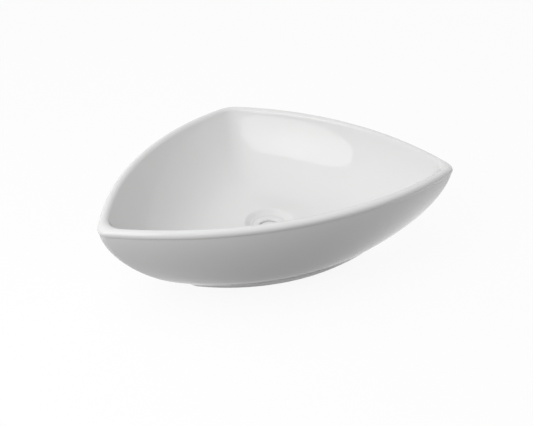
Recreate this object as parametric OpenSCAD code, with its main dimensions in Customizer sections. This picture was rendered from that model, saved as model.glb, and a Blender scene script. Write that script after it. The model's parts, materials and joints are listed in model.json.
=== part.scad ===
// Three-cornered countertop basin with a push-to-open waste.
// Origin: on the drain axis, in the plane of the foot. +Z is up and the long side faces -Y.

/* [Bowl plan] */
// Distance between the two front corners, where the side arcs would meet
plan_w = 600; // [540:1:660]
// From the drain axis forward to the line between the front corners
plan_front = 108; // [90:1:130]
// From the drain axis back to the back corner
plan_back = 274; // [240:1:300]
// Outward bow of the front side
front_bulge = 74; // [50:1:90]
// Outward bow of the two other sides
side_bulge = 65; // [45:1:80]
// Outer radius of the two front corners
front_corner_r = 20; // [17:1:34]
// Outer radius of the back corner
back_corner_r = 50; // [30:1:70]
// Radius of the two front corners inside the rim
inner_corner_r = 32; // [20:1:50]

/* [Bowl wall] */
// Height of the rim above the foot
rim_h = 161; // [143:1:183]
// Radius of the rounded rim
rim_r = 7.5; // [7:0.1:8.5]
// Wall thickness just under the rim
wall_t = 12.4; // [11:0.1:13.4]
// How full the outside of the wall is towards the rim: 1 is straight, 2 is round
outer_round = 1.4; // [1.35:0.01:1.6]
// How full the outside of the wall is towards the foot: 1 is straight, 2 is round
outer_belly = 1.57; // [1.45:0.01:1.8]
// How full the inside of the wall is: 1 is straight, 2 is round
inner_round = 1.55; // [1.4:0.01:1.7]
// How far up the inside curve goes: 90 would make the wall upright at the rim
inner_sweep = 75; // [65:1:85]
// Lean of the inside of the wall where the rim begins
inner_lean = 15; // [8:1:20]
// How far the level floor spreads before it turns up into the wall
floor_spread = 3; // [2.4:0.1:3.2]
// Height of the inside floor above the counter
floor_h = 42; // [40:0.5:52]
// Level floor left round the dish
floor_edge = 2; // [1:0.5:4]

/* [Foot] */
// Distance between the two front corners of the foot, where its arcs would meet
foot_w = 350; // [320:1:370]
// From the drain axis forward to the line between the foot's front corners
foot_front = 77; // [66:1:86]
// From the drain axis back to the foot's back corner
foot_back = 126; // [112:1:140]
// Outward bow of the foot's front side
foot_front_bulge = 48; // [34:1:54]
// Outward bow of the foot's two other sides
foot_side_bulge = 40; // [30:1:46]
// Radius of the foot's two front corners
foot_front_r = 28; // [22:1:40]
// Radius of the foot's back corner
foot_back_r = 55; // [40:1:65]
// Height of the foot
foot_h = 11; // [7:0.5:14]
// Lean of the foot's outside, from the counter up to the wall
foot_lean = 2.5; // [0.5:0.5:4]
// Width of the foot ring at its top
foot_t = 15; // [12:0.5:18]
// Depth of the recess under the floor
recess_h = 21; // [20.5:0.1:23]
// Lean of the recess's wall
recess_draft = 3; // [1:0.5:6]

/* [Drain dish] */
// Radius of the round dish
dish_r = 48; // [44:0.5:54]
// Depth of the lip below the floor
dish_depth = 7; // [6:0.1:9]
// Radius of the hole through the bowl
hole_r = 23; // [22:0.1:24]

/* [Waste body] */
// Radius of the flange
flange_r = 31.5; // [29:0.1:34]
// Thickness of the flange at its lip
flange_t = 2.2; // [1.6:0.1:3]
// Rise of the flange from its lip to its edge
flange_rise = 0.8; // [0.4:0.1:1.5]
// Radius at which the lip turns down
lip_r = 23; // [22:0.1:24]
// Radius of the bore that the plug sits in
bore_r = 19.2; // [18.8:0.1:19.6]
// Radius of the narrower bore under the plug
throat_r = 18.2; // [17.6:0.1:18.4]
// Outer radius of the threaded tube
thread_r = 20.95; // [20.7:0.05:21.2]
// Length from the lip to the end of the threaded tube
body_len = 58; // [52:1:70]
// Number of arms that hold the cartridge
arm_count = 3; // [2:1:4]
// Thickness of one arm
arm_t = 2.6; // [2:0.1:3.4]
// Outer radius of the boss on the arms
boss_r = 10; // [9.6:0.1:11]
// Height of the boss
boss_h = 9; // [7:0.5:11]

/* [Seals, washer and nut] */
// Thickness of the seal under the flange
flange_seal_t = 1; // [0.8:0.1:1.5]
// Outer radius of the seal, the washer and the nut's face under the floor
clamp_r = 31; // [29:0.5:34]
// Thickness of the rubber washer under the floor
underside_seal_t = 3.5; // [2.5:0.1:4]
// Thickness of the slippery washer
slip_washer_t = 1.5; // [1:0.1:2]
// Thickness of the back nut
back_nut_t = 10; // [8:0.5:11]
// Width of the back nut across its flats
back_nut_af = 56; // [52:1:60]

/* [Tail] */
// Outer radius of the tail
tail_r = 16; // [15:0.1:16.5]
// Wall of the tail
tail_t = 1.6; // [1.2:0.1:2]
// Length of the tail below the waste body
tail_len = 46; // [38:1:80]
// Length of the spigot that screws into the waste body
spigot_len = 11; // [8:0.5:12]
// Thickness of the tail's collar
collar_t = 3; // [2:0.1:4]
// Thickness of the tail's seal
tail_seal_t = 1.2; // [0.8:0.1:1.6]

/* [Plug] */
// Depth of the closed plug below the lip
plug_sink = 3.5; // [3:0.1:5]
// Travel of the plug from closed to open
plug_travel = 9; // [7:0.1:9.5]
// Thickness of the glazed cover
cover_t = 1.6; // [1.2:0.1:2]
// Crown of the glazed cover
cover_crown = 0.9; // [0.4:0.1:1.4]
// Thickness of the plug's plate
plate_t = 2; // [1.5:0.1:2.5]
// Thickness of the plug's seal
plug_seal_t = 1.8; // [1.4:0.1:2.2]
// Width of the plug's seal, from the hub to its lip
plug_seal_w = 3; // [2.4:0.1:4]
// Height of the plug's hub
hub_h = 4.5; // [4:0.1:5]
// Radius of the plug's threaded boss
plug_boss_r = 6.5; // [6:0.1:8]

/* [Cartridge] */
// Radius of the stem
stem_r = 3; // [2.6:0.1:3.2]
// Outer radius of the cartridge
housing_r = 7; // [6.8:0.1:7.2]
// Wall of the cartridge
housing_t = 1.6; // [1.2:0.1:1.8]
// Width of the cartridge's shoulder across its flats
shoulder_af = 18; // [17:0.5:19]
// Height of the cartridge's shoulder
shoulder_h = 3.5; // [3:0.1:4.5]
// Length of the compressed spring
spring_len = 11.4; // [10:0.1:14]
// Radius of the spring wire
wire_r = 0.45; // [0.35:0.05:0.5]
// Turns of the spring
spring_turns = 5; // [4:1:6]
// Thickness of the cartridge's end wall
end_t = 1.5; // [1.2:0.1:2]
// Thickness of the cartridge's cap
cap_t = 2; // [1.6:0.1:2.4]
// Thickness of the stem's collar
stem_collar_t = 2; // [1.5:0.1:2.5]
// Height of the ratchet ring without its teeth
ratchet_h = 2.4; // [2:0.1:2.6]
// Height of a ratchet tooth
tooth_h = 1.2; // [0.8:0.1:1.3]
// Number of ratchet teeth
tooth_count = 8; // [6:1:12]
// Thickness of the lock nut
lock_nut_t = 3; // [2.5:0.1:3.5]
// Width of the lock nut across its flats
lock_nut_af = 10; // [9:0.5:11]

/* [Clearances] */
// Between pieces that slide or turn in each other
slide_gap = 0.15; // [0.1:0.01:0.2]
// Between threads that are screwed together
thread_gap = 0.05; // [0.03:0.01:0.1]
// Round a washer or seal that is slipped on
slip_gap = 0.25; // [0.15:0.05:0.4]
// Between the plug and what it closes on or rises from
plug_gap = 0.3; // [0.2:0.05:0.4]

/* [Hidden] */
eps = 0.5;
smooth = 96;
side_steps = 12;
corner_steps = 8;
slack = 0.0001;
inner_steps = 14;
outer_steps = 12;
rim_steps = 9;
dish_steps = 10;
round_steps = 6;
glaze = "whitesmoke";
nylon = "gainsboro";
rubber = "dimgray";
steel = "silver";
brass = "goldenrod";
acetal = "lightsteelblue";

// Levels of the drain, from the floor down
lip_z = floor_h - dish_depth;
flange_bottom = lip_z - flange_t;
seat_z = flange_bottom - flange_seal_t;
body_end = lip_z - body_len;
washer_top = recess_h - underside_seal_t;
nut_top = washer_top - slip_washer_t;
collar_top = body_end - tail_seal_t;

// Levels of the closed plug and the cartridge, from the lip down
cover_top = lip_z - plug_sink;
plate_top = cover_top - cover_t;
plate_bottom = plate_top - plate_t;
seal_bottom = plate_bottom - plug_seal_t;
throat_top = seal_bottom - plug_gap;
hub_bottom = plate_bottom - hub_h;
lock_nut_bottom = hub_bottom - lock_nut_t;
cap_top = lock_nut_bottom - 2 * plug_gap;
housing_top = cap_top - cap_t;
boss_top = housing_top - shoulder_h;
ratchet_bottom = housing_top - plug_travel - plug_gap - ratchet_h - tooth_h;
stem_collar_top = ratchet_bottom - slide_gap;
spring_top = stem_collar_top - stem_collar_t;
spring_bottom = spring_top - spring_len;
housing_end = spring_bottom - end_t;

// Radii that follow from what they fit
cover_r = bore_r - 2 * plug_gap;
seal_r = bore_r - plug_gap;
hub_r = seal_r - plug_seal_w;
housing_bore_r = housing_r - housing_t;
collar_r = housing_bore_r - slide_gap;
spring_r = collar_r - slide_gap - wire_r;
spigot_r = throat_r - thread_gap;
seat_r = flange_r + plug_gap;

// Circle through a and b that bows out to the right of the way from a to b: [centre, radius]
function side_circle(a, b, bulge) =
    let (d = b - a, len = norm(d), out = [d.y, -d.x] / len)
    let (r = (len * len / 4 + bulge * bulge) / (2 * bulge))
    [(a + b) / 2 - out * (r - bulge), r];

// Centre of the circle of radius r that touches two side circles from inside, next to a corner
function corner_centre(one, two, r, corner) =
    let (d = two[0] - one[0], len = norm(d), u = d / len)
    let (ra = one[1] - r, rb = two[1] - r)
    let (x = (ra * ra - rb * rb + len * len) / (2 * len), h = sqrt(ra * ra - x * x))
    let (p = one[0] + u * x + [-u.y, u.x] * h, q = one[0] + u * x - [-u.y, u.x] * h)
    norm(p - corner) < norm(q - corner) ? p : q;

function heading(v) = atan2(v.y, v.x);
function turn(a) = a - 360 * floor(a / 360);

// Six arcs of a rounded triangle, anticlockwise: [centre, radius, first heading, sweep]
function triangle_arcs(w, front, back, front_bow, side_bow, front_r, back_r) =
    let (c = [[-w / 2, -front], [w / 2, -front], [0, back]])
    let (bow = [front_bow, side_bow, side_bow], r = [front_r, front_r, back_r])
    let (side = [for (i = [0:2]) side_circle(c[i], c[(i + 1) % 3], bow[i])])
    let (mid = [for (i = [0:2]) corner_centre(side[(i + 2) % 3], side[i], r[i], c[i])])
    let (from = [for (i = [0:2]) heading(mid[i] - side[(i + 2) % 3][0])])
    let (to = [for (i = [0:2]) heading(mid[i] - side[i][0])])
    [for (i = [0:2]) each [
        [mid[i], r[i], from[i], turn(to[i] - from[i])],
        [side[i][0], side[i][1], to[i], turn(from[(i + 1) % 3] - to[i])]]];

// Point of the outline whose outward normal has the given heading
function outline_point(arcs, a) =
    let (hits = [for (arc = arcs) if (turn(a - arc[2] + slack) <= arc[3] + 2 * slack) arc])
    hits[0][0] + hits[0][1] * [cos(a), sin(a)];

rim_arcs = triangle_arcs(plan_w, plan_front, plan_back, front_bulge, side_bulge,
    front_corner_r, back_corner_r);
inner_arcs = triangle_arcs(plan_w, plan_front, plan_back, front_bulge, side_bulge,
    inner_corner_r + 2 * rim_r, back_corner_r);
foot_arcs = triangle_arcs(foot_w, foot_front, foot_back, foot_front_bulge, foot_side_bulge,
    foot_front_r, foot_back_r);

// Headings of the points of every ring of the bowl, and the rings that the wall runs between
headings = [for (i = [0:5])
    let (arc = rim_arcs[i], n = i % 2 == 0 ? corner_steps : side_steps)
    for (j = [0:n - 1]) arc[2] + arc[3] * j / n];
normals = [for (a = headings) [cos(a), sin(a)]];
rim_ring = [for (a = headings) outline_point(rim_arcs, a)];
foot_ring = [for (a = headings) outline_point(foot_arcs, a)];

function shifted(ring, d) = [for (i = [0:len(ring) - 1]) ring[i] + normals[i] * d];
function between(one, two, k) = one * (1 - k) + two * k;
function lifted(ring, z) = [for (p = ring) [p.x, p.y, z]];

// Rings of the bowl, from the inside floor over the rim to the recess under the floor
bead_z = rim_h - rim_r;
bead_dip = acos(wall_t / 2 / rim_r);
wall_top = bead_z - rim_r * sin(bead_dip);
outer_bead = shifted(rim_ring, -rim_r);
inner_bead = shifted([for (a = headings) outline_point(inner_arcs, a)], -rim_r);
floor_ring = normals * (dish_r + floor_edge);
outside_rim = shifted(outer_bead, wall_t / 2);
function rim_outline(a) = shifted(between(inner_bead, outer_bead, (1 + cos(a)) / 2), rim_r * cos(a));
rim_start = 180 - inner_lean;
rim_rings = [for (i = [1:rim_steps])
    let (a = between(rim_start, -bead_dip, i / (rim_steps + 1)))
    lifted(rim_outline(a), bead_z + rim_r * sin(a))];
inside_rim = rim_outline(rim_start);
inside_top = bead_z + rim_r * sin(rim_start);
inside_rings = [for (i = [0:inner_steps])
    let (a = inner_sweep * i / inner_steps)
    let (k = pow(sin(a) / sin(inner_sweep), 2 / floor_spread))
    let (rise = (1 - pow(cos(a), 2 / inner_round)) / (1 - pow(cos(inner_sweep), 2 / inner_round)))
    lifted(between(floor_ring, inside_rim, k), between(floor_h, inside_top, rise))];
outside_rings = [for (i = [outer_steps:-1:0])
    let (a = 90 * i / outer_steps)
    let (k = pow(sin(a), 2 / outer_round), rise = 1 - pow(cos(a), 2 / outer_belly))
    lifted(between(foot_ring, outside_rim, k), between(foot_h, wall_top, rise))];
foot_rings = [lifted(shifted(foot_ring, -foot_lean), 0),
    lifted(shifted(foot_ring, -foot_t), 0),
    lifted(shifted(foot_ring, -foot_t - recess_draft), recess_h)];
bowl_rings = concat(inside_rings, rim_rings, outside_rings, foot_rings);

// Closed solid through a stack of rings, capped flat at both ends
module loft(rings) {
    n = len(rings[0]);
    last = (len(rings) - 1) * n;
    points = [for (ring = rings) each ring];
    walls = [for (j = [0:len(rings) - 2], i = [0:n - 1])
        let (a = j * n + i, b = j * n + (i + 1) % n)
        each [[a, b, b + n], [a, b + n, a + n]]];
    first_cap = [[for (i = [n - 1:-1:0]) i]];
    last_cap = [[for (i = [0:n - 1]) last + i]];
    polyhedron(points, concat(walls, first_cap, last_cap));
}

// Flat ring with a square edge
module washer(inner_r, outer_r, bottom, top) {
    rotate_extrude($fn = smooth)
        polygon([[inner_r, bottom], [outer_r, bottom], [outer_r, top], [inner_r, top]]);
}

module hex(af, bottom, top) {
    translate([0, 0, bottom])
        cylinder(h = top - bottom, r = af / 2 / cos(30), $fn = 6);
}

// The dish falls in a soft S from the floor to the edge of the flange's seat
module dish_cut() {
    edge_z = lip_z + flange_rise;
    slope = [for (i = [0:dish_steps])
        let (s = i / dish_steps)
        [between(dish_r, seat_r, s), between(floor_h, edge_z, (1 - cos(180 * s)) / 2)]];
    rotate_extrude($fn = smooth)
        polygon(concat([[0, floor_h + eps], [dish_r, floor_h + eps]], slope,
            [[seat_r, seat_z], [0, seat_z]]));
}

module basin_bowl() {
    color(glaze)
        difference() {
            loft(bowl_rings);
            dish_cut();
            translate([0, 0, recess_h - eps])
                cylinder(h = seat_z - recess_h + 2 * eps, r = hole_r, $fn = smooth);
        }
}

// Flange, lip, bore, seat and threaded tube in one profile
module waste_tube() {
    lip_fall = lip_r - bore_r;
    lip_curve = [for (i = [0:round_steps])
        let (a = 90 + 90 * i / round_steps)
        [lip_r + lip_fall * cos(a), lip_z - lip_fall + lip_fall * sin(a)]];
    rotate_extrude($fn = smooth)
        polygon(concat(
            [[throat_r, body_end], [thread_r, body_end], [thread_r, flange_bottom],
            [flange_r, flange_bottom], [flange_r, lip_z + flange_rise]],
            lip_curve,
            [[bore_r, throat_top], [throat_r, throat_top]]));
}

module spider() {
    arm_inset = 1;
    difference() {
        union() {
            translate([0, 0, boss_top - boss_h])
                cylinder(h = boss_h, r = boss_r, $fn = smooth);
            for (i = [0:arm_count - 1])
                rotate([0, 0, 90 + i * 360 / arm_count])
                    translate([0, -arm_t / 2, boss_top - boss_h + arm_inset])
                        cube([(throat_r + thread_r) / 2, arm_t, boss_h - 2 * arm_inset]);
        }
        translate([0, 0, boss_top - boss_h - eps])
            cylinder(h = boss_h + 2 * eps, r = housing_r + thread_gap, $fn = smooth);
    }
}

module waste_body() {
    color(glaze) {
        waste_tube();
        spider();
    }
}

module flange_seal() {
    color(rubber)
        washer(hole_r, flange_r, seat_z, flange_bottom);
}

module underside_seal() {
    color(rubber)
        washer(thread_r + slip_gap, clamp_r, washer_top, recess_h);
}

module slip_washer() {
    color(nylon)
        washer(thread_r + slip_gap, clamp_r, nut_top, washer_top);
}

// Hexagon with a round face towards the washer
module back_nut() {
    face_t = 2;
    color(nylon)
        difference() {
            union() {
                hex(back_nut_af, nut_top - back_nut_t, nut_top - face_t);
                translate([0, 0, nut_top - face_t])
                    cylinder(h = face_t, r = clamp_r, $fn = smooth);
            }
            translate([0, 0, nut_top - back_nut_t - eps])
                cylinder(h = back_nut_t + 2 * eps, r = thread_r + thread_gap, $fn = smooth);
        }
}

module tail_seal() {
    color(rubber)
        washer(spigot_r + slip_gap, thread_r, collar_top, body_end);
}

module tail_pipe() {
    bore = tail_r - tail_t;
    end_z = body_end - tail_len;
    color(steel)
        rotate_extrude($fn = smooth)
            polygon([[bore, end_z], [tail_r, end_z], [tail_r, collar_top - collar_t],
                [thread_r, collar_top - collar_t], [thread_r, collar_top], [spigot_r, collar_top],
                [spigot_r, body_end + spigot_len], [bore, body_end + spigot_len]]);
}

module click_housing() {
    drip_r = 1.2;
    color(acetal)
        difference() {
            union() {
                translate([0, 0, housing_end])
                    cylinder(h = housing_top - housing_end, r = housing_r, $fn = smooth);
                hex(shoulder_af, boss_top, housing_top);
            }
            translate([0, 0, spring_bottom])
                cylinder(h = housing_top - spring_bottom + eps, r = housing_bore_r, $fn = smooth);
            translate([0, 0, housing_end - eps])
                cylinder(h = end_t + 2 * eps, r = drip_r, $fn = smooth);
        }
}

module housing_cap() {
    color(acetal)
        washer(stem_r + slide_gap, housing_r, housing_top, cap_top);
}

// One unbroken wire, swept along a helix
module click_spring() {
    ring_sides = 6;
    rings_per_turn = 12;
    count = spring_turns * rings_per_turn;
    end_gap = slide_gap / 3;
    low = spring_bottom + wire_r + end_gap;
    high = spring_top - wire_r - end_gap;
    lean = atan((high - low) / (spring_turns * 360 * spring_r * PI / 180));
    rings = [for (i = [0:count])
        let (a = 360 * i / rings_per_turn, z = between(low, high, i / count))
        [for (j = [0:ring_sides - 1])
            let (b = 360 * j / ring_sides, out = wire_r * cos(b), up = wire_r * sin(b))
            [(spring_r + out) * cos(a) + up * sin(lean) * sin(a),
            (spring_r + out) * sin(a) - up * sin(lean) * cos(a),
            z + up * cos(lean)]]];
    color(steel)
        loft(rings);
}

module plug_stem() {
    stem_top = plate_bottom - plug_gap;
    stem_end = spring_bottom + plug_gap;
    color(brass) {
        translate([0, 0, stem_end])
            cylinder(h = stem_top - stem_end, r = stem_r, $fn = smooth);
        translate([0, 0, spring_top])
            cylinder(h = stem_collar_t, r = collar_r, $fn = smooth);
    }
}

module ratchet_ring() {
    inner_r = stem_r + slide_gap;
    tooth_w = 1.1;
    color(acetal) {
        washer(inner_r, collar_r, ratchet_bottom, ratchet_bottom + ratchet_h);
        for (i = [0:tooth_count - 1])
            rotate([0, 0, i * 360 / tooth_count])
                translate([0, 0, ratchet_bottom + ratchet_h])
                    rotate([90, 0, 90])
                        translate([0, 0, inner_r + slide_gap])
                            linear_extrude(collar_r - inner_r - 3 * slide_gap)
                                polygon([[-tooth_w / 2, -eps], [tooth_w / 2, -eps],
                                    [tooth_w / 2, tooth_h], [-tooth_w / 2, 0]]);
    }
}

module stem_lock_nut() {
    color(brass)
        difference() {
            hex(lock_nut_af, lock_nut_bottom, hub_bottom);
            translate([0, 0, lock_nut_bottom - eps])
                cylinder(h = lock_nut_t + 2 * eps, r = stem_r + thread_gap, $fn = smooth);
        }
}

// Plate with a hollow hub, and a boss in it for the stem
module plug_disc() {
    hub_wall = 1.5;
    color(nylon)
        difference() {
            union() {
                translate([0, 0, plate_bottom])
                    cylinder(h = plate_t, r = cover_r, $fn = smooth);
                difference() {
                    translate([0, 0, hub_bottom])
                        cylinder(h = hub_h + eps, r = hub_r, $fn = smooth);
                    translate([0, 0, hub_bottom - eps])
                        cylinder(h = hub_h + eps, r = hub_r - hub_wall, $fn = smooth);
                }
                translate([0, 0, hub_bottom])
                    cylinder(h = hub_h + eps, r = plug_boss_r, $fn = smooth);
            }
            translate([0, 0, hub_bottom - eps])
                cylinder(h = hub_h + eps, r = stem_r + thread_gap, $fn = smooth);
        }
}

module plug_seal() {
    color(rubber)
        washer(hub_r + thread_gap, seal_r, seal_bottom, plate_bottom);
}

// Shallow dome with a rounded edge
module plug_cover() {
    edge_z = cover_top - cover_crown;
    crown = [for (i = [0:round_steps])
        let (a = 90 * i / round_steps)
        [cover_r * cos(90 - a), edge_z + cover_crown * sin(90 - a)]];
    color(glaze)
        rotate_extrude($fn = smooth)
            polygon(concat(crown, [[cover_r, plate_top], [0, plate_top]]));
}

basin_bowl();
waste_body();
flange_seal();
underside_seal();
slip_washer();
back_nut();
tail_seal();
tail_pipe();
click_housing();
housing_cap();
click_spring();
plug_stem();
ratchet_ring();
stem_lock_nut();
plug_disc();
plug_seal();
plug_cover();
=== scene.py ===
import json
import math

import bmesh
import bpy
from mathutils import Matrix, Vector


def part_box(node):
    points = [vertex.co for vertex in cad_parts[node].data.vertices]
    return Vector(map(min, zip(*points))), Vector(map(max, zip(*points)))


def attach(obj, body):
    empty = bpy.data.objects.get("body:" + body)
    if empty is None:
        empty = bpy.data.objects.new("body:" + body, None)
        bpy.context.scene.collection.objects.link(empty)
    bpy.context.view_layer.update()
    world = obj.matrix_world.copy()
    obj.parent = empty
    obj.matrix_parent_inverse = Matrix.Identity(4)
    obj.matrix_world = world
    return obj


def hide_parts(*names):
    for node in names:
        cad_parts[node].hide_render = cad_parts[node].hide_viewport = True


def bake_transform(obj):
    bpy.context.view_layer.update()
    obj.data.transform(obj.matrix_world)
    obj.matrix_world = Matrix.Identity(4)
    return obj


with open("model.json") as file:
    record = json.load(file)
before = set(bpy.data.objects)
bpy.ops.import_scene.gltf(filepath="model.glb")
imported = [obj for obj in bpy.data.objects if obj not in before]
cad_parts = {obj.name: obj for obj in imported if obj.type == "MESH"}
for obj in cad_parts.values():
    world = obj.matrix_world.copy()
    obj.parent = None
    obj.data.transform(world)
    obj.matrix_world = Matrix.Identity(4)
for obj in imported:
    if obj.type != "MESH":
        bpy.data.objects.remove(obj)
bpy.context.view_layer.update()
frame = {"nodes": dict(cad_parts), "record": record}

print("frame loaded:", len(frame["nodes"]), "nodes")

mm = 0.001
halfTurn = math.pi
fullTurn = 2 * math.pi


# camera, as fitted to the photograph
cameraSet = {
    "azimuth": -18.9,          # degrees round the drain axis, 0 looks along +Y
    "elevation": 31.5,
    "distance": 1.05,          # from the point looked at, in metres
    "lookAt": (0, 0, 0.0976),
    "lens": 39.99,             # on a sensor 36 mm wide
    "sensor": 36,
    "photoWidth": 533,
    "shiftRight": -3.3,        # pixels of the photograph
    "shiftUp": -16.94,
    "clipStart": 0.01,
}


def backVector(azimuth, elevation):
    # from the object towards a viewer at these angles, in degrees
    azimuth = math.radians(azimuth)
    elevation = math.radians(elevation)
    return Vector((math.sin(azimuth) * math.cos(elevation),
                   -math.cos(azimuth) * math.cos(elevation),
                   math.sin(elevation)))


def makeCamera():
    data = bpy.data.cameras.new("camera")
    data.sensor_width = cameraSet["sensor"]
    data.lens = cameraSet["lens"]
    data.shift_x = cameraSet["shiftRight"] / cameraSet["photoWidth"]
    data.shift_y = cameraSet["shiftUp"] / cameraSet["photoWidth"]
    data.clip_start = cameraSet["clipStart"]
    camera = bpy.data.objects.new("camera", data)
    bpy.context.scene.collection.objects.link(camera)
    back = backVector(cameraSet["azimuth"], cameraSet["elevation"])
    camera.location = Vector(cameraSet["lookAt"]) + back * cameraSet["distance"]
    camera.rotation_euler = back.to_track_quat("Z", "Y").to_euler()
    bpy.context.scene.camera = camera


makeCamera()
print("camera set")


# materials: a socket that can be used like a number
class Value:
    def __init__(self, nodes, socket):
        self.nodes = nodes
        self.socket = socket

    def __add__(self, other):
        return self.nodes.maths("ADD", self, other)

    def __radd__(self, other):
        return self.nodes.maths("ADD", other, self)

    def __rsub__(self, other):
        return self.nodes.maths("SUBTRACT", other, self)

    def __mul__(self, other):
        return self.nodes.maths("MULTIPLY", self, other)


# a node tree, written from values to the shader
class Nodes:
    def __init__(self, tree):
        self.tree = tree

    def feed(self, socket, value):
        if isinstance(value, Value):
            self.tree.links.new(value.socket, socket)
        else:
            socket.default_value = value

    def node(self, kind, settings=None, output=0, **values):
        # a socket goes by its name with _ for a space, or by in and its number
        made = self.tree.nodes.new(kind)
        for key, value in (settings or {}).items():
            setattr(made, key, value)
        for words, value in values.items():
            numbered = words[:2] == "in" and words[2:].isdigit()
            socket = made.inputs[int(words[2:]) if numbered else words.replace("_", " ")]
            self.feed(socket, value)
        return Value(self, made.outputs[output])

    def output(self, kind, surface):
        self.feed(self.tree.nodes.new(kind).inputs["Surface"], surface)

    def maths(self, operation, one, two=0):
        return self.node("ShaderNodeMath", {"operation": operation}, in0=one, in1=two)

    def blend(self, factor, one, two):
        return self.node("ShaderNodeMix", {"data_type": "RGBA"}, output=2,
                         in0=factor, in6=one, in7=two)

    def soften(self, value, low, high):
        # 0 below low, 1 above high, smooth between
        return self.node("ShaderNodeMapRange", {"interpolation_type": "SMOOTHSTEP"},
                         Value=value, From_Min=low, From_Max=high)


# a material on the Principled shader
class Paint(Nodes):
    def __init__(self, name, **fixed):
        self.material = bpy.data.materials.new(name)
        self.material.use_nodes = True
        super().__init__(self.material.node_tree)
        self.shader = self.tree.nodes["Principled BSDF"]
        self.place = self.node("ShaderNodeTexCoord", output="Object")
        self.finish(**fixed)

    def finish(self, **values):
        for words, value in values.items():
            self.feed(self.shader.inputs[words.replace("_", " ")], value)
        return self.material

    def noise(self, scale, detail=3):
        return self.node("ShaderNodeTexNoise", Vector=self.place, Scale=scale, Detail=detail)

    def height(self):
        # metres above the worktop
        return self.node("ShaderNodeSeparateXYZ", output="Z", Vector=self.place)

    def bump(self, height, depth):
        return self.node("ShaderNodeBump", Height=height, Distance=depth * mm)


def grey(level, warmth=0.0):
    return (level * (1 + warmth), level, level * (1 - warmth), 1)


glazeSet = {
    "ior": 1.5,
    "white": 0.80,
    "cloud": 0.985,            # share of the white where the glaze lies thinner
    "cloudWarmth": 0.004,
    "cloudScale": 9,
    "roughness": 0.025,
    "smear": 0.02,             # how much rougher it is in places
    "smearScale": 30,
    "waveDepth": 0.012,
    "waveScale": 45,
    # the foot's contact face is bare clay, up to a wavering edge
    "bareHeight": 0.9,
    "bareFade": 0.5,
    "waver": 0.7,
    "waverScale": 160,
    "bareRoughness": 0.8,
    "bareDark": (0.58, 0.55, 0.49, 1),
    "bareLight": (0.66, 0.63, 0.57, 1),
    "bareScale": 1400,
}


def glazedCeramic():
    s = glazeSet
    paint = Paint("glaze", IOR=s["ior"])
    tone = paint.blend(paint.noise(s["cloudScale"], detail=2),
                       grey(s["white"] * s["cloud"], s["cloudWarmth"]), grey(s["white"]))
    edge = paint.height() + paint.noise(s["waverScale"], detail=4) * s["waver"] * mm
    glazed = paint.soften(edge, s["bareHeight"] * mm, (s["bareHeight"] + s["bareFade"]) * mm)
    bare = paint.blend(paint.noise(s["bareScale"]), s["bareDark"], s["bareLight"])
    glossy = s["roughness"] + paint.noise(s["smearScale"], detail=2) * s["smear"]
    return paint.finish(
        Base_Color=paint.blend(glazed, bare, tone),
        Roughness=glossy * glazed + (1 - glazed) * s["bareRoughness"],
        Normal=paint.bump(paint.noise(s["waveScale"], detail=1), s["waveDepth"]))


# lacquer, rubber and plastics: two tones, an uneven gloss and a fine grain
lacquerSet = {
    "ior": 1.5,
    "dark": grey(0.77),
    "light": grey(0.80),
    "toneScale": 60,
    "toneDetail": 2,
    "roughness": 0.16,
    "uneven": 0.06,
    "unevenScale": 220,
    "grainDepth": 0.01,
    "grainScale": 900,
}
rubberSet = {
    "ior": 1.5,
    "dark": (0.022, 0.022, 0.024, 1),
    "light": (0.045, 0.045, 0.047, 1),
    "toneScale": 350,
    "toneDetail": 3,
    "roughness": 0.62,
    "uneven": 0.2,
    "unevenScale": 500,
    "grainDepth": 0.03,
    "grainScale": 2600,
}
nylonSet = {
    "ior": 1.48,
    "dark": (0.60, 0.60, 0.57, 1),
    "light": (0.68, 0.68, 0.65, 1),
    "toneScale": 120,
    "toneDetail": 3,
    "roughness": 0.38,
    "uneven": 0.12,
    "unevenScale": 400,
    "grainDepth": 0.02,
    "grainScale": 1800,
}
acetalSet = nylonSet | {
    "dark": (0.22, 0.28, 0.36, 1),
    "light": (0.27, 0.33, 0.41, 1),
    "roughness": 0.3,
}


def plainPaint(name, s):
    paint = Paint(name, IOR=s["ior"])
    tone = paint.noise(s["toneScale"], s["toneDetail"])
    return paint.finish(
        Base_Color=paint.blend(tone, s["dark"], s["light"]),
        Roughness=s["roughness"] + paint.noise(s["unevenScale"]) * s["uneven"],
        Normal=paint.bump(paint.noise(s["grainScale"], detail=2), s["grainDepth"]))


# metals, with the fine rings that a lathe leaves round the drain axis
turningSet = {
    "rings": 5200,             # radians of their wave to a metre
    "ringShare": 0.5,
    "unevenScale": 300,
    "uneven": 0.1,
    "toneScale": 90,
}
metalSet = {
    "chrome": {"dark": grey(0.60), "light": grey(0.64), "roughness": 0.06, "depth": 0.002},
    "brass": {"dark": (0.50, 0.33, 0.11, 1), "light": (0.60, 0.42, 0.17, 1), "roughness": 0.24,
              "depth": 0.006},
    "springSteel": {"dark": grey(0.42), "light": grey(0.50), "roughness": 0.28, "depth": 0.004},
}


def turnedMetal(name):
    s = turningSet | metalSet[name]
    paint = Paint(name, Metallic=1.0)
    uneven = paint.noise(s["unevenScale"], detail=2)
    rings = paint.maths("SINE", paint.height() * s["rings"])
    return paint.finish(
        Base_Color=paint.blend(paint.noise(s["toneScale"]), s["dark"], s["light"]),
        Roughness=s["roughness"] + uneven * s["uneven"],
        Normal=paint.bump(rings * s["ringShare"] + uneven, s["depth"]))


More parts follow.
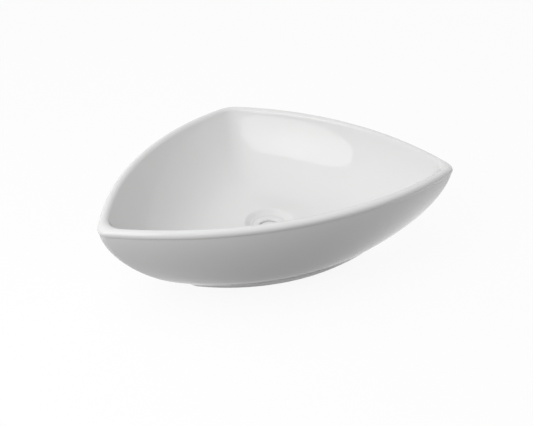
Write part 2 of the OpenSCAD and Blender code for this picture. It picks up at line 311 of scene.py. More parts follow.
materials = {
    "glaze": glazedCeramic(),
    "white_lacquer": plainPaint("whiteLacquer", lacquerSet),
    "rubber": plainPaint("rubber", rubberSet),
    "nylon": plainPaint("nylon", nylonSet),
    "acetal": plainPaint("acetal", acetalSet),
    "chrome": turnedMetal("chrome"),
    "brass": turnedMetal("brass"),
    "spring_steel": turnedMetal("springSteel"),
}

slotOf = {part["node"]: part["material_slot"] for part in frame["record"]["subparts"]}
for name, node in frame["nodes"].items():
    node.data.materials.clear()
    node.data.materials.append(materials[slotOf[name]])
print("materials made:", len(materials))


# pieces: every shape is a bmesh in millimetres, in the frame's place
weld = 0.0005                  # points closer than this become one
threadSet = {
    "crestStart": 0.38,        # shares of the pitch
    "crestEnd": 0.5,
    "rootStart": 0.88,
    "lead": 1.5,               # turns cut off below and above
    "spareTurns": 2,
    "steps": 72,
}
chamferSlope = 30              # of a nut, in degrees
chamferSteps = 8
hexagon = 6


def addObject(name, shape):
    mesh = bpy.data.meshes.new(name)
    shape.to_mesh(mesh)
    shape.free()
    item = bpy.data.objects.new(name, mesh)
    bpy.context.scene.collection.objects.link(item)
    return item


def addPiece(name, shape, node, body="bowl", sharp=30):
    bmesh.ops.scale(shape, vec=(mm, mm, mm), verts=shape.verts)
    piece = addObject(name, shape)
    mesh = piece.data
    mesh.polygons.foreach_set("use_smooth", [True] * len(mesh.polygons))
    mesh.set_sharp_from_angle(angle=math.radians(sharp))
    mesh.materials.append(materials[slotOf[node]])
    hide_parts(node)
    if body:
        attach(piece, body)
    return piece


def levels(node):
    # lowest and highest level of a node, in millimetres
    low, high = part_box(node)
    return low.z / mm, high.z / mm


def tidy(shape):
    bmesh.ops.remove_doubles(shape, verts=shape.verts, dist=weld)
    bmesh.ops.recalc_face_normals(shape, faces=shape.faces)
    return shape


def spinWire(shape, points, steps=96, closed=False, rise=0):
    # turns a line of (radius, height) points once round the drain axis
    line = [shape.verts.new((radius, 0, z)) for radius, z in points]
    wire = [shape.edges.new(pair) for pair in zip(line, line[1:])]
    if closed:
        wire.append(shape.edges.new((line[-1], line[0])))
    bmesh.ops.spin(shape, geom=line + wire, axis=(0, 0, 1), cent=(0, 0, 0),
                   dvec=(0, 0, rise / steps), angle=fullTurn, steps=steps, use_merge=not rise)
    bmesh.ops.remove_doubles(shape, verts=shape.verts, dist=weld)


def softEdges(shape, width, segments=2, angle=35):
    sharp = [edge for edge in shape.edges
             if edge.is_manifold and edge.calc_face_angle() > math.radians(angle)]
    bmesh.ops.bevel(shape, geom=sharp, offset=width, offset_type="OFFSET", affect="EDGES",
                    segments=segments, profile=0.5, material=-1, clamp_overlap=True)


def turned(points, soft=0.0, segments=2, steps=96):
    # solid of a closed outline, or of a line that begins and ends on the axis
    shape = bmesh.new()
    spinWire(shape, points, steps, closed=points[0][0] > 0)
    tidy(shape)
    if soft:
        softEdges(shape, soft, segments)
    return shape


def ringPoints(inner, outer, low, high):
    return [(inner, low), (outer, low), (outer, high), (inner, high)]


def rimLoop(shape, level):
    # open edges at one level
    return [edge for edge in shape.edges if edge.is_boundary
            and all(abs(vert.co.z - level) < 2 * weld for vert in edge.verts)]


def joinShape(shape, other):
    mesh = bpy.data.meshes.new("joined")
    other.to_mesh(mesh)
    other.free()
    shape.from_mesh(mesh)
    bpy.data.meshes.remove(mesh)


def addThread(shape, thread, lowEnd, highEnd):
    # joins the open loops at two levels with a screw thread between them
    s = threadSet
    pitch, crest, root = thread["pitch"], thread["crest"], thread["root"]
    low = lowEnd + thread["runOut"]
    high = highEnd - thread["runOut"]
    points = []
    for i in range(math.ceil((high - low) / pitch) + s["spareTurns"]):
        z = low - s["lead"] * pitch + i * pitch
        points += [(root, z), (crest, z + s["crestStart"] * pitch),
                   (crest, z + s["crestEnd"] * pitch), (root, z + s["rootStart"] * pitch)]
    wall = bmesh.new()
    spinWire(wall, points, s["steps"], rise=pitch)
    for level, up in ((low, -1), (high, 1)):
        bmesh.ops.bisect_plane(wall, geom=wall.verts[:] + wall.edges[:] + wall.faces[:],
                               plane_co=(0, 0, level), plane_no=(0, 0, up), clear_outer=True)
    joinShape(shape, wall)
    for inner, outer in ((low, lowEnd), (high, highEnd)):
        bmesh.ops.bridge_loops(shape, edges=rimLoop(shape, inner) + rimLoop(shape, outer))
    bmesh.ops.recalc_face_normals(shape, faces=shape.faces)


def millFlats(shape, acrossFlats, low, high):
    # pulls a turned blank in to a hexagon with its corners on the X axis
    for vert in shape.verts:
        x, y, z = vert.co
        fromFlat = math.atan2(y, x) % (fullTurn / hexagon) - fullTurn / hexagon / 2
        reach = acrossFlats / 2 / math.cos(fromFlat)
        radius = math.hypot(x, y)
        if low <= z <= high and radius > reach:
            vert.co = (x * reach / radius, y * reach / radius, z)


def slantPoints(corner, width, level, up):
    # a nut's chamfer, from its face out to its corners
    slope = math.tan(math.radians(chamferSlope)) * up
    return [(corner - width * (1 - i / chamferSteps), level + slope * width * i / chamferSteps)
            for i in range(chamferSteps + 1)]


def addRibs(shape, rib):
    # soft-edged bars that run outwards from the drain axis
    for i in range(rib["count"]):
        turn = math.radians(rib["first"] + 360 * i / rib["count"])
        bar = bmesh.ops.create_cube(shape, size=1)["verts"]
        bmesh.ops.scale(shape, verts=bar, vec=(rib["outer"] - rib["inner"], rib["width"],
                                               rib["high"] - rib["low"]))
        bmesh.ops.translate(shape, verts=bar, vec=((rib["outer"] + rib["inner"]) / 2, 0,
                                                   (rib["high"] + rib["low"]) / 2))
        bmesh.ops.rotate(shape, cent=(0, 0, 0), verts=bar, matrix=Matrix.Rotation(turn, 3, "Z"))
        edges = list(dict.fromkeys(edge for vert in bar for edge in vert.link_edges))
        bmesh.ops.bevel(shape, geom=edges, offset=rib["soft"], offset_type="OFFSET",
                        affect="EDGES", segments=3, profile=0.5, material=-1)


def sweepAngles(first, last, steps):
    # from first to last in equal steps, in degrees
    return [math.radians(first + (last - first) * i / steps) for i in range(steps + 1)]


def arcPoints(centre, radius, first, last, steps):
    # points of an arc in the plane of (radius, height)
    return [(centre[0] + radius * math.cos(a), centre[1] + radius * math.sin(a))
            for a in sweepAngles(first, last, steps)]


def closeRings(shape, rings):
    # extrudes a loop of edges through a list of rings, and joins the last to the first
    loop = [shape.verts.new(point) for point in rings[0]]
    edges = [shape.edges.new((loop[i - 1], loop[i])) for i in range(len(loop))]
    for ring in rings[1:]:
        grown = bmesh.ops.extrude_edge_only(shape, edges=edges)["geom"]
        new = {item for item in grown if isinstance(item, bmesh.types.BMVert)}
        edges = [item for item in grown if isinstance(item, bmesh.types.BMEdge)
                 and item.verts[0] in new and item.verts[1] in new]
        loop = [next(edge.other_vert(old) for edge in old.link_edges
                     if edge.other_vert(old) in new) for old in loop]
        for vert, point in zip(loop, ring):
            vert.co = point
    return tidy(shape)


# the bowl, in millimetres
bowlSet = {
    "rimPlan": {"width": 600, "front": 108, "back": 274, "frontBow": 74, "sideBow": 65,
                "frontRadius": 20, "backRadius": 50},
    "footPlan": {"width": 350, "front": 77, "back": 126, "frontBow": 48, "sideBow": 40,
                 "frontRadius": 28, "backRadius": 55},
    "innerRadius": 32,         # of the front corners inside the rim
    "rimHeight": 161,
    "rimRadius": 7.5,
    "wall": 12.4,
    "outerRound": 1.4,         # towards the rim: 1 is straight, 2 is round
    "outerBelly": 1.57,        # towards the foot
    "innerRound": 1.55,
    "innerSweep": 75,          # 90 would make the inside upright at the rim
    "floorSpread": 3,          # above 2, the floor runs further out before it turns up
    "floorHeight": 42,
    "floorEdge": 2,            # flat ring round the dish
    "footHeight": 11,
    "footRing": 15,            # thickness of the foot's wall at its face
    "footLean": 2.5,           # how far the foot draws in towards its face
    "recessHeight": 21,
    "recessDraft": 3,
    "dishRadius": 48,
    "dishEdge": 35.8,          # height of the lip round the seat
    "seatRadius": 31.8,
    "seatHeight": 31.8,
    "holeRadius": 23,
    "rimFillet": 2.0,          # soft hollow under the outside of the rim
    "footFillet": 7,           # soft hollow between the wall and the foot
    "recessFillet": 3,         # soft corner round the ceiling of the recess
    "edge": 1.4,               # roundness of the foot's edges and of the hole's
    "footBlend": 0.2,          # share of the wall's way out over which the hollow fades
    "innerCrowd": 1.15,        # above 1, the wall's rings stand closer at its low end
    "outerCrowd": 1.3,
    "cornerSteps": 18,
    "sideSteps": 44,
    "wallSteps": 44,
    "rimSteps": 30,
    "dishSteps": 20,
    "filletSteps": 6,
    "edgeSteps": 5,
    "holeSteps": 4,
    "ceilingSteps": 5,
}


def heading(vector):
    return math.atan2(vector.y, vector.x)


def sideCircle(start, end, bow):
    # circle through both points that bows out to the right of the way between them
    way = end - start
    radius = (way.length_squared / 4 + bow * bow) / (2 * bow)
    out = Vector((way.y, -way.x)).normalized()
    return (start + end) / 2 - out * (radius - bow), radius


def cornerCentre(one, two, radius, corner):
    # centre of the circle that touches two side circles from inside, next to a corner
    way = two[0] - one[0]
    along = way.normalized()
    reachOne = one[1] - radius
    reachTwo = two[1] - radius
    x = (reachOne ** 2 - reachTwo ** 2 + way.length_squared) / (2 * way.length)
    across = Vector((-along.y, along.x)) * math.sqrt(reachOne ** 2 - x ** 2)
    foot = one[0] + along * x
    return min(foot + across, foot - across, key=lambda place: (place - corner).length)


def roundedTriangle(plan):
    # six arcs, anticlockwise: centre, radius, first heading, sweep
    corners = [Vector((-plan["width"] / 2, -plan["front"])),
               Vector((plan["width"] / 2, -plan["front"])),
               Vector((0, plan["back"]))]
    bows = (plan["frontBow"], plan["sideBow"], plan["sideBow"])
    radii = (plan["frontRadius"], plan["frontRadius"], plan["backRadius"])
    sides = [sideCircle(corners[i], corners[(i + 1) % 3], bows[i]) for i in range(3)]
    mids = [cornerCentre(sides[i - 1], sides[i], radii[i], corners[i]) for i in range(3)]
    starts = [heading(mids[i] - sides[i - 1][0]) for i in range(3)]
    ends = [heading(mids[i] - sides[i][0]) for i in range(3)]
    arcs = []
    for i in range(3):
        following = starts[(i + 1) % 3]
        arcs.append((mids[i], radii[i], starts[i], (ends[i] - starts[i]) % fullTurn))
        arcs.append((*sides[i], ends[i], (following - ends[i]) % fullTurn))
    return arcs


def outlinePoint(arcs, angle):
    # point of the outline whose outward normal has this heading
    slack = 1e-6
    for centre, radius, start, sweep in arcs:
        if (angle - start + slack) % fullTurn <= sweep + 2 * slack:
            return centre + radius * Vector((math.cos(angle), math.sin(angle)))


def bowlRings():
    b = bowlSet
    soft, rim = b["edge"], b["rimRadius"]
    hole, seat, seatZ = b["holeRadius"], b["seatRadius"], b["seatHeight"]
    floorZ = b["floorHeight"]
    rimArcs = roundedTriangle(b["rimPlan"])
    innerArcs = roundedTriangle(b["rimPlan"] | {"frontRadius": b["innerRadius"] + 2 * rim})
    footArcs = roundedTriangle(b["footPlan"])
    headings = []
    for i, (centre, radius, start, sweep) in enumerate(rimArcs):
        steps = b["sideSteps"] if i % 2 else b["cornerSteps"]
        headings += [start + sweep * j / steps for j in range(steps)]
    normals = [Vector((math.cos(a), math.sin(a))) for a in headings]
    rings = []

    def outline(arcs, inset=0):
        return [outlinePoint(arcs, a) - n * inset for a, n in zip(headings, normals)]

    def circle(radius):
        return [n * radius for n in normals]

    def between(one, two, k):
        return [p.lerp(q, k) for p, q in zip(one, two)]

    def addRing(points, z, shift=0.0):
        rings.append([(*(p + n * shift), z) for p, n in zip(points, normals)])

    # up through the hole, over the seat and the dish to the floor
    for a in sweepAngles(0, 90, b["holeSteps"]):
        addRing(circle(hole + soft * (1 - math.cos(a))), seatZ - soft * (1 - math.sin(a)))
    addRing(circle(seat - soft), seatZ)
    addRing(circle(seat), seatZ)
    for a in sweepAngles(0, 90, b["holeSteps"]):
        addRing(circle(seat + soft / 2 * (1 - math.cos(a))),
                b["dishEdge"] - soft / 2 * (1 - math.sin(a)))
    lip = seat + soft / 2
    for a in sweepAngles(0, 180, b["dishSteps"])[1:]:
        rise = (1 - math.cos(a)) / 2
        addRing(circle(lip + (b["dishRadius"] - lip) * a / halfTurn),
                b["dishEdge"] + (floorZ - b["dishEdge"]) * rise)

    # up the inside of the wall, which leans as much as the rim does where they meet
    beadZ = b["rimHeight"] - rim
    innerBead = outline(innerArcs, rim)
    outerBead = outline(rimArcs, rim)
    floorCircle = circle(b["dishRadius"] + b["floorEdge"])

    def innerCurve(a):
        # how far out and how far up the inside has gone
        return (math.sin(a) ** (2 / b["floorSpread"]), 1 - math.cos(a) ** (2 / b["innerRound"]))

    end = math.radians(b["innerSweep"])
    step = 0.001
    outEnd, upEnd = innerCurve(end)
    outStep, upStep = innerCurve(end - step)
    steepness = (upEnd - upStep) / upEnd * outEnd / (outEnd - outStep) * (beadZ - floorZ)
    starts = [halfTurn - math.atan((p - q).length / steepness)
              for p, q in zip(outline(innerArcs, 2 * rim), floorCircle)]

    def rimPoint(i, a):
        centre = innerBead[i].lerp(outerBead[i], (1 + math.cos(a)) / 2)
        return (*(centre + normals[i] * rim * math.cos(a)), beadZ + rim * math.sin(a))

    innerTop = [Vector(rimPoint(i, a)) for i, a in enumerate(starts)]
    for i in range(b["wallSteps"] + 1):
        out, up = innerCurve(end * (i / b["wallSteps"]) ** b["innerCrowd"])
        rings.append([(*p.lerp(q.xy, out / outEnd), floorZ + (q.z - floorZ) * up / upEnd)
                      for p, q in zip(floorCircle, innerTop)])

    # over the rim, and through the hollow under its outside to the wall
    half = b["wall"] / 2
    fillet = b["rimFillet"]
    drop = math.sqrt((rim + fillet) ** 2 - (half + fillet) ** 2)
    lean = math.asin(drop / (rim + fillet))
    wallTop = beadZ - math.sqrt(rim ** 2 - half ** 2)
    for k in range(1, b["rimSteps"] + 1):
        rings.append([rimPoint(i, a + (-lean - a) * k / b["rimSteps"])
                      for i, a in enumerate(starts)])
    for a in sweepAngles(math.degrees(lean), 0, b["filletSteps"])[1:]:
        addRing(outerBead, beadZ - drop + fillet * math.sin(a), half + fillet * (1 - math.cos(a)))

    # down the outside of the wall, and through a hollow to the foot
    foot = outline(footArcs)
    outerRim = outline(rimArcs, rim - half)
    fillet = b["footFillet"]
    low, high = b["footHeight"], wallTop
    last = math.acos((1 - (beadZ - drop - low) / (high - low)) ** (b["outerBelly"] / 2))
    for i in range(b["wallSteps"] - 1, 0, -1):
        a = last * (i / b["wallSteps"]) ** b["outerCrowd"]
        k = math.sin(a) ** (2 / b["outerRound"])
        rise = 1 - math.cos(a) ** (2 / b["outerBelly"])
        addRing(between(foot, outerRim, k), low + (high - low) * rise,
                fillet * max(0, 1 - k / b["footBlend"]) ** 2)
    for a in sweepAngles(90, 0, b["filletSteps"]):
        down = fillet * (1 - math.sin(a))
        addRing(foot, low - down, fillet * (1 - math.cos(a)) - b["footLean"] * down / low)

    # round the foot's ring and up into the recess
    for a in sweepAngles(0, -90, b["edgeSteps"]):
        addRing(foot, soft * (1 + math.sin(a)), soft * (math.cos(a) - 1) - b["footLean"])
    for a in sweepAngles(-90, -180, b["edgeSteps"]):
        addRing(foot, soft * (1 + math.sin(a)), soft * (1 + math.cos(a)) - b["footRing"])
    fillet = b["recessFillet"]
    ceiling = b["recessHeight"]
    draft = b["recessDraft"]
    addRing(foot, ceiling - fillet, -b["footRing"] - draft * (ceiling - fillet) / ceiling)
    for a in sweepAngles(0, 90, b["filletSteps"])[1:]:
        addRing(foot, ceiling - fillet * (1 - math.sin(a)),
                -b["footRing"] - draft - fillet * (1 - math.cos(a)))

    # across the ceiling and back into the hole
    inset = outline(footArcs, b["footRing"] + draft + fillet)
    for k in range(1, b["ceilingSteps"] + 1):
        addRing(between(inset, circle(seat + fillet), k / b["ceilingSteps"]), ceiling)
    for a in sweepAngles(90, 0, b["holeSteps"]):
        addRing(circle(hole + soft * (1 - math.cos(a))), ceiling + soft * (1 - math.sin(a)))
    addRing(circle(hole), seatZ - soft)
    return rings


def makeBowl():
    shape = bmesh.new()
    addPiece("glazedBowl", closeRings(shape, bowlRings()), "basin_bowl", sharp=60)


makeBowl()
print("bowl made")


# the waste body: flange, bore and threaded tube, with the arms that hold the cartridge
wasteSet = {
    "lip": 35,
    "lipRadius": 23,
    "lipSteps": 14,
    "flangeRadius": 31.5,
    "flangeBottom": 32.8,
    "flangeEdge": 35.8,
    "flangeSoft": 0.5,
    "flangeSteps": 4,
    "bore": 19.2,
    "throat": 18.2,
    "throatTop": 25.8,
    "end": -23,
    "soft": 0.4,
    "thread": {"pitch": 2.309, "crest": 20.95, "root": 19.5, "runOut": 0.7},
    "arm": {"count": 3, "first": 90, "inner": 9, "outer": 18.8, "width": 2.6, "low": 6.3,
            "high": 13.3, "soft": 0.6},
    "boss": (7.05, 10, 5.3, 14.3),     # inner and outer radius, lowest and highest level
    "bossSoft": 0.5,
}


def makeWaste():
    w = wasteSet
    soft, edge = w["soft"], w["flangeSoft"]
    flange, bottom, top = w["flangeRadius"], w["flangeBottom"], w["flangeEdge"]
    throat, shoulder, end = w["throat"], w["throatTop"], w["end"]
    fall = w["lipRadius"] - w["bore"]
    root = w["thread"]["root"]
    shape = bmesh.new()
    # from the top of the thread over the flange, down the bore and out to the thread's end
    spinWire(shape, [
        (root, bottom), (flange - soft, bottom), (flange, bottom + soft),
        *arcPoints((flange - edge, top - edge), edge, 0, 90, w["flangeSteps"]),
        *arcPoints((w["lipRadius"], w["lip"] - fall), fall, 90, 180, w["lipSteps"]),
        (w["bore"], shoulder), (throat + soft, shoulder), (throat, shoulder - soft),
        (throat, end + soft), (throat + soft, end), (root - soft, end)])
    addThread(shape, w["thread"], end, bottom)
    joinShape(shape, turned(ringPoints(*w["boss"]), w["bossSoft"]))
    addRibs(shape, w["arm"])
    addPiece("wasteBody", shape, "waste_body")


makeWaste()


# seals and washers: name, inner and outer radius, and the roundness of their edges
sealSet = {
    "flange_seal": ("flangeSeal", 23, 31.5, 0.3),
    "underside_seal": ("undersideSeal", 21.2, 31, 1.2),
    "slip_washer": ("slipWasher", 21.2, 31, 0.3),
    "tail_seal": ("tailSeal", 18.4, 20.95, 0.35),
}
for node, (name, inner, outer, soft) in sealSet.items():
    addPiece(name, turned(ringPoints(inner, outer, *levels(node)), soft, segments=3), node)


# nuts: turned blanks with milled flats
nutSet = {
    "back_nut": {"name": "backNut", "body": "bowl", "bore": 21, "flats": 56, "corner": 32,
                 "face": 31, "faceHeight": 2, "chamfer": 3.2, "soft": 0.4},
    "stem_lock_nut": {"name": "stemLockNut", "body": "plug", "bore": 3.05, "flats": 10,
                      "corner": 5.7, "face": 4.9, "faceHeight": 0.3, "chamfer": 0.8, "soft": 0.1},
}


def makeNut(node):
    n = nutSet[node]
    low, high = levels(node)
    bore, soft = n["bore"], n["soft"]
    ledge = high - n["faceHeight"]
    shape = turned([(bore + soft, low), *slantPoints(n["corner"], n["chamfer"], low, 1),
                    (n["corner"], ledge), (n["face"], ledge), (n["face"], high),
                    (bore + soft, high), (bore, high - soft), (bore, low + soft)])
    millFlats(shape, n["flats"], low, ledge)
    addPiece(n["name"], shape, node, n["body"])


for node in nutSet:
    makeNut(node)
print("waste body, seals and nuts made")


# the tail, with a grip cut round its collar
tailSet = {
    "outer": 16,
    "bore": 14.4,
    "collarRadius": 20.95,
    "collarTop": -24.2,
    "collarBottom": -27.2,
    "soft": 0.4,
    "hollow": 1,               # under the collar
    "hollowSteps": 5,
    "grooves": 48,
    "grooveSteps": 4,
    "grooveDepth": 0.35,
    "thread": {"pitch": 1.411, "crest": 18.15, "root": 17.3, "runOut": 0.5},
}


def makeTail():
    t = tailSet
    low, high = levels("tail_pipe")
    soft, hollow = t["soft"], t["hollow"]
    bore, outer, root = t["bore"], t["outer"], t["thread"]["root"]
    collar, bottom, top = t["collarRadius"], t["collarBottom"], t["collarTop"]
    shape = bmesh.new()
    # from the spigot's end down the bore, up the outside and over the collar
    spinWire(shape, [
        (root - soft, high), (bore + soft, high), (bore, high - soft), (bore, low + soft),
        (bore + soft, low), (outer - soft, low), (outer, low + soft),
        *arcPoints((outer + hollow, bottom - hollow), hollow, 180, 90, t["hollowSteps"]),
        (collar - soft, bottom), (collar, bottom + soft), (collar, top - soft),
        (collar - soft, top), (root, top)], steps=t["grooves"] * t["grooveSteps"])
    for vert in shape.verts:
        x, y, z = vert.co
        if math.hypot(x, y) > collar - soft / 2:
            wave = math.cos(math.atan2(y, x) * t["grooves"] / 2) ** 2
            keep = 1 - t["grooveDepth"] * wave / collar
            vert.co = (x * keep, y * keep, z)
    addThread(shape, t["thread"], top, high)
    addPiece("tailPipe", shape, "tail_pipe")


makeTail()


# the cartridge: housing, cap and spring
cartridgeSet = {
    "bore": 5.4,
    "drip": 1.2,
    "floor": -8.65,
    "shoulder": 14.3,
    "flats": 18,
    "corner": 10.2,
    "chamfer": 1.4,
    "soft": 0.3,
    "thread": {"pitch": 1.0, "crest": 7.0, "root": 6.4, "runOut": 0.3},
    "threadEnd": 1,
    "cap": (3.15, 7),          # inner and outer radius
    "wire": 0.45,
    "wireSteps": 12,
    "coil": 4.65,
    "coilSteps": 32,           # to a turn
    "endTurns": 1,             # closed coils at each end
    "turns": 4,                # open coils between them
}


def makeHousing():
    c = cartridgeSet
    low, high = levels("click_housing")
    root, soft = c["thread"]["root"], c["soft"]
    bore, drip, floor, shoulder = c["bore"], c["drip"], c["floor"], c["shoulder"]
    shape = bmesh.new()
    # from the lower end of the thread round the closed end, up the bore and over the shoulder
    spinWire(shape, [
        (root, c["threadEnd"]), (root, low + soft), (root - soft, low), (drip + soft, low),
        (drip, low + soft), (drip, floor), (bore, floor), (bore, high - soft),
        (bore + soft, high), *slantPoints(c["corner"], c["chamfer"], high, -1),
        (c["corner"], shoulder), (root, shoulder)])
    millFlats(shape, c["flats"], shoulder, high)
    addThread(shape, c["thread"], c["threadEnd"], shoulder)
    addPiece("clickHousing", shape, "click_housing")
    cap = turned(ringPoints(*c["cap"], *levels("housing_cap")), soft, segments=3)
    addPiece("housingCap", cap, "housing_cap")


def makeSpring():
    c = cartridgeSet
    low, high = levels("click_spring")
    thick = 2 * c["wire"]
    closed = c["endTurns"] * thick
    middle = high - low - thick - 2 * closed
    shape = bmesh.new()
    loop = bmesh.ops.create_circle(shape, segments=c["wireSteps"], radius=c["wire"])["verts"]
    bmesh.ops.rotate(shape, cent=(0, 0, 0), verts=loop,
                     matrix=Matrix.Rotation(halfTurn / 2, 3, "X"))
    bmesh.ops.translate(shape, vec=(c["coil"], 0, low + c["wire"]), verts=loop)
    wire = loop + shape.edges[:]
    for turns, rise in ((c["endTurns"], closed), (c["turns"], middle), (c["endTurns"], closed)):
        steps = turns * c["coilSteps"]
        wire = bmesh.ops.spin(shape, geom=wire, axis=(0, 0, 1), cent=(0, 0, 0), steps=steps,
                              dvec=(0, 0, rise / steps), angle=fullTurn * turns)["geom_last"]
    bmesh.ops.holes_fill(shape, edges=shape.edges)
    spring = addPiece("clickSpring", tidy(shape), "click_spring", body=None, sharp=60)
    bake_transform(spring)


makeHousing()
makeSpring()
print("tail and cartridge made")


# what moves: stem, ratchet, disc, seal and cover
plugSet = {
    "stem": 3,
    "stemSoft": 0.4,
    "collarRadius": 5.25,
    "collar": (2.75, 4.75),
    "thread": {"pitch": 1.0, "crest": 3.0, "root": 2.45, "runOut": 0.3},
    "threadLow": 20,
    "ratchet": (3.15, 5.25),
    "ratchetSoft": 0.15,
    "teeth": 8,
    "toothHeight": 1.2,
    "toothNudge": 0.001,       # share of a tooth, so that each drop falls between two points
    "plate": (27.9, 29.9),
    "plateRadius": 18.6,
    "hub": (14.4, 15.9),
    "hubBottom": 23.4,
    "boss": 6.5,
    "bore": 3.05,
    "discSoft": 0.3,
    "rib": {"count": 6, "first": 30, "inner": 6, "outer": 15, "width": 1.2, "low": 24.4,
            "high": 28.4, "soft": 0.25},
    "seal": [(15.95, 26.1), (17.9, 26.1), (18.9, 26.8), (18.9, 27.2), (18.1, 27.9), (15.95, 27.9)],
    "sealSoft": 0.2,
    "crown": 0.9,
    "crownSteps": 24,
    "coverSoft": 0.25,
}


def makeStem():
    p = plugSet
    low, high = levels("plug_stem")
    stem, soft, root = p["stem"], p["stemSoft"], p["thread"]["root"]
    collar, (bottom, top) = p["collarRadius"], p["collar"]
    shape = bmesh.new()
    spinWire(shape, [
        (0, low), (stem - soft, low), (stem, low + soft), (stem, bottom),
        (collar - soft, bottom), (collar, bottom + soft), (collar, top - soft),
        (collar - soft, top), (stem, top), (stem, p["threadLow"] - soft),
        (root, p["threadLow"])])
    spinWire(shape, [(root, high - soft), (root - soft, high), (0, high)])
    addThread(shape, p["thread"], p["threadLow"], high - soft)
    addPiece("plugStem", shape, "plug_stem", "plug")


def makeRatchet():
    p = plugSet
    low, high = levels("ratchet_ring")
    root = high - p["toothHeight"]
    shape = turned(ringPoints(*p["ratchet"], low, root), p["ratchetSoft"])
    for vert in shape.verts:
        if vert.co.z > (low + root) / 2:
            teeth = math.atan2(vert.co.y, vert.co.x) / fullTurn * p["teeth"] + p["toothNudge"]
            vert.co.z += p["toothHeight"] * (teeth % 1)
    addPiece("ratchetRing", shape, "ratchet_ring", "ratchet")


def makePlug():
    p = plugSet
    under, top = p["plate"]
    radius, bore, boss, bottom = p["plateRadius"], p["bore"], p["boss"], p["hubBottom"]
    inner, outer = p["hub"]
    shape = turned([
        (0, under), (bore, under), (bore, bottom), (boss, bottom), (boss, under),
        (inner, under), (inner, bottom), (outer, bottom), (outer, under),
        (radius, under), (radius, top), (0, top)], p["discSoft"])
    addRibs(shape, p["rib"])
    addPiece("plugDisc", shape, "plug_disc", "plug")
    addPiece("plugSeal", turned(p["seal"], p["sealSoft"]), "plug_seal", "plug")
    low, high = levels("plug_cover")
    soft, crown = p["coverSoft"], p["crown"]
    dome = [(radius * math.sin(a), high - crown + crown * math.cos(a))
            for a in sweepAngles(90, 0, p["crownSteps"])]
    cover = turned([(0, low), (radius - soft, low), (radius, low + soft), *dome])
    addPiece("plugCover", cover, "plug_cover", "plug", sharp=50)


makeStem()
makeRatchet()
makePlug()
print("plug made")


# floor, backdrop and light
stageSet = {
    "floorRadius": 6.0,
    "floorHole": 0.027,        # lets the threaded tube through
    "floorSteps": 64,
    "floorWhite": 0.95,
    "glow": 0.9,               # share of the floor that shines by itself, the rest takes shadows
    # soft light on things: azimuth, elevation, sharpness and strength of each patch
    "skyGlow": [(0, 90, 10, 1.7), (-120, 50, 8, 1.45), (-50, 12, 10, 1.44), (50, 12, 10, 1.88),
                (170, 30, 6, 0.45)],
    "floorGlow": [(-90, 0, 4, 0.46), (90, 0, 4, 1.45), (150, 0, 4, 0.28), (-150, 0, 4, 0.28)],
    "glowStart": (0.13, 0.2),  # metres from the drain axis
    "glowEnd": (0.3, 0.9),
    "softbox": {
        "azimuth": -59.4,
        "elevation": 28.9,
        "roll": 10.7,
        "distance": 1.6,
        "target": (0.1, 0.14, 0.1),
        # the corners of its cloth and its brightest place, in its own plane
        "corners": [(-0.59, 0.55), (-0.59, 0.0), (-0.52, -0.2), (-0.3, -0.46), (-0.1, -0.53),
                    (0.34, -0.55), (0.5, -0.38), (0.5, 0.3), (0.33, 0.8), (0.24, 0.87),
                    (-0.38, 0.88), (-0.54, 0.74)],
        "middle": (-0.02, 0.16),
        "fade": (0.1, 0.55),       # metres from the middle
        "radiance": (2.5, 1.8),    # at the middle and at the edge
    },
}


def directRays(nodes):
    # 1 where the camera, a reflection or a transmission looks, 0 for light that falls on things
    path = nodes.tree.nodes.new("ShaderNodeLightPath")
    camera, glossy, through = (
        Value(nodes, path.outputs[name])
        for name in ("Is Camera Ray", "Is Glossy Ray", "Is Transmission Ray"))
    return nodes.maths("MAXIMUM", nodes.maths("MAXIMUM", camera, glossy), through)


def softGlow(nodes, direction, glows):
    # the sum of soft patches of light, each round its own direction
    total = 0
    for azimuth, elevation, sharpness, strength in glows:
        facing = nodes.node("ShaderNodeVectorMath", {"operation": "DOT_PRODUCT"}, output="Value",
                            in0=direction, in1=backVector(azimuth, elevation))
        total = nodes.maths("POWER", nodes.maths("MAXIMUM", facing), sharpness) * strength + total
    return total


def addStage(name, shape):
    item = addObject(name, shape)
    return item


def stageNodes(item):
    # the empty node tree of a new material on a stage piece
    material = bpy.data.materials.new(item.name + "Paint")
    material.use_nodes = True
    material.node_tree.nodes.clear()
    item.data.materials.append(material)
    return Nodes(material.node_tree)


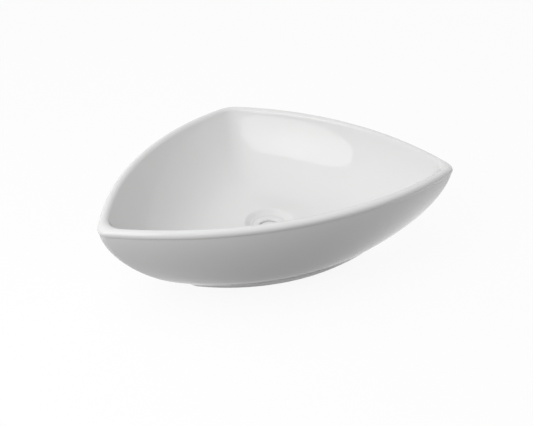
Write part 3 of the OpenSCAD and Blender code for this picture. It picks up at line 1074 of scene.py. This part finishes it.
def makeFloor():
    s = stageSet
    shape = bmesh.new()
    bmesh.ops.create_circle(shape, segments=s["floorSteps"], radius=s["floorHole"])
    grown = bmesh.ops.extrude_edge_only(shape, edges=shape.edges[:])["geom"]
    rim = [item for item in grown if isinstance(item, bmesh.types.BMVert)]
    spread = s["floorRadius"] / s["floorHole"]
    bmesh.ops.scale(shape, vec=(spread, spread, 1), verts=rim)
    bmesh.ops.recalc_face_normals(shape, faces=shape.faces)
    nodes = stageNodes(addStage("floor", shape))
    place = nodes.node("ShaderNodeTexCoord", output="Object")
    outward = nodes.node("ShaderNodeVectorMath", {"operation": "NORMALIZE"}, in0=place)
    reach = nodes.node("ShaderNodeVectorMath", {"operation": "LENGTH"}, output="Value", in0=place)
    near = nodes.soften(reach, *s["glowStart"]) * (1 - nodes.soften(reach, *s["glowEnd"]))
    shine = nodes.blend(directRays(nodes), softGlow(nodes, outward, s["floorGlow"]) * near,
                        grey(1))
    nodes.output("ShaderNodeOutputMaterial", nodes.node(
        "ShaderNodeMixShader", in0=s["glow"],
        in1=nodes.node("ShaderNodeBsdfDiffuse", Color=grey(s["floorWhite"])),
        in2=nodes.node("ShaderNodeEmission", Color=shine, Strength=1)))


def makeWorld():
    world = bpy.data.worlds.new("studio")
    world.use_nodes = True
    world.node_tree.nodes.clear()
    nodes = Nodes(world.node_tree)
    direction = nodes.node("ShaderNodeTexCoord", output="Generated")
    sky = nodes.blend(directRays(nodes), softGlow(nodes, direction, stageSet["skyGlow"]),
                      grey(1))
    nodes.output("ShaderNodeOutputWorld",
                 nodes.node("ShaderNodeBackground", Color=sky, Strength=1))
    bpy.context.scene.world = world


def makeSoftbox():
    # a flat lamp that lets through what is behind it, as the built-in lamps do
    s = stageSet["softbox"]
    back = backVector(s["azimuth"], s["elevation"])
    facing = back.to_track_quat("Z", "Y").to_matrix() @ Matrix.Rotation(
        math.radians(s["roll"]), 3, "Z")

    def place(point):
        return Vector(s["target"]) + facing @ Vector((*point, s["distance"]))

    shape = bmesh.new()
    shape.faces.new([shape.verts.new(place(point)) for point in s["corners"]])
    softbox = addStage("softbox", shape)
    nodes = stageNodes(softbox)
    reach = nodes.node("ShaderNodeVectorMath", {"operation": "DISTANCE"}, output="Value",
                       in0=nodes.node("ShaderNodeTexCoord", output="Object"),
                       in1=place(s["middle"]))
    bright, dim = s["radiance"]
    light = (1 - nodes.soften(reach, *s["fade"])) * (bright - dim) + dim
    nodes.output("ShaderNodeOutputMaterial", nodes.node(
        "ShaderNodeAddShader",
        in0=nodes.node("ShaderNodeBsdfTransparent"),
        in1=nodes.node("ShaderNodeEmission", Color=light, Strength=1)))
    softbox.visible_camera = False


makeFloor()
makeWorld()
makeSoftbox()
bpy.context.scene.view_settings.view_transform = "Standard"
print("floor and lamps set")
